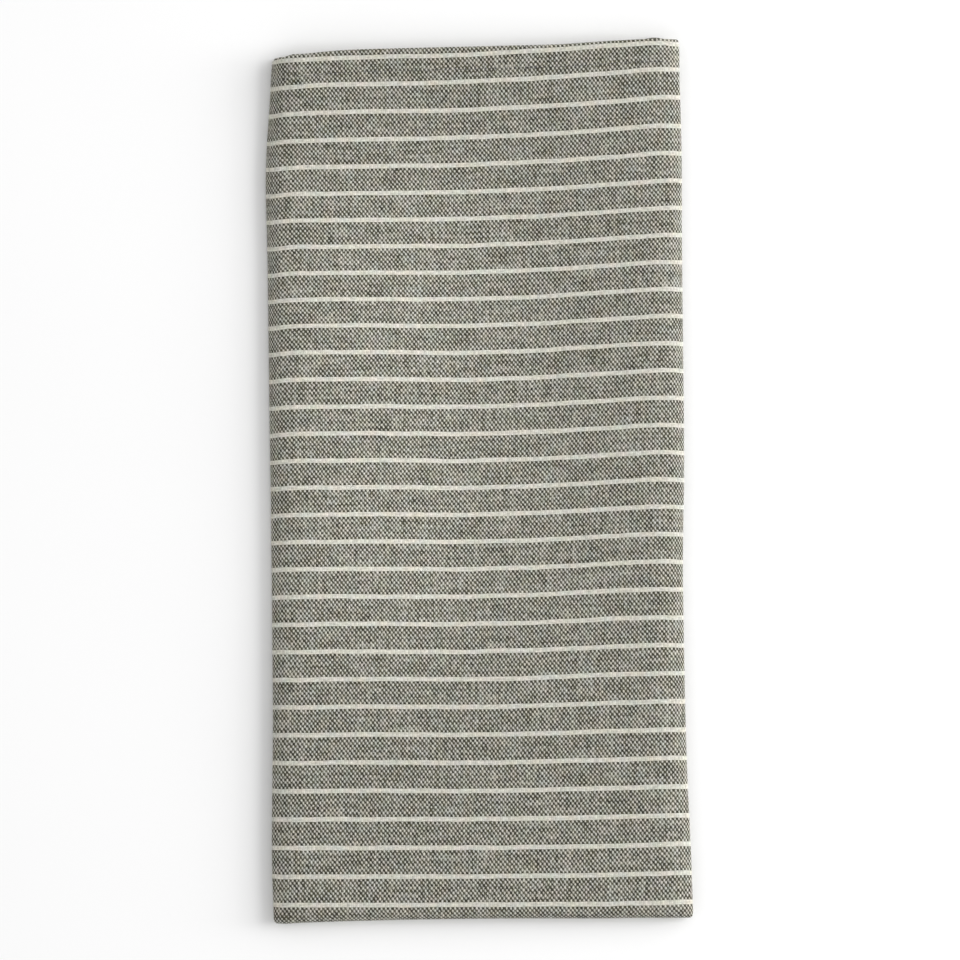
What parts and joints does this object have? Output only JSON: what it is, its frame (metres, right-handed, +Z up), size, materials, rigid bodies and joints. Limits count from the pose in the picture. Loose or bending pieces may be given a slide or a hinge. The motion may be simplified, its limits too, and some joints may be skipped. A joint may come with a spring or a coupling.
{
  "type": "folded tea towel",
  "caption": "Striped plain-weave cotton tea towel, folded in thirds across its width and once in half, lying flat.",
  "frame": {"origin": "under the middle of the folded towel, on the surface that it lies on", "axes": "+Z up; +Y along the folded towel from the half fold to the hems; +X across it, to the right as seen from above with the hems at the top"},
  "size_m": [0.173, 0.3593, 0.0097],
  "materials": {
    "towel_cloth": "matt cotton plain weave, charcoal and cream, with narrow cream stripes"
  },
  "bodies": {
    "root": {"towel": "towel_cloth"}
  },
  "joints": []
}
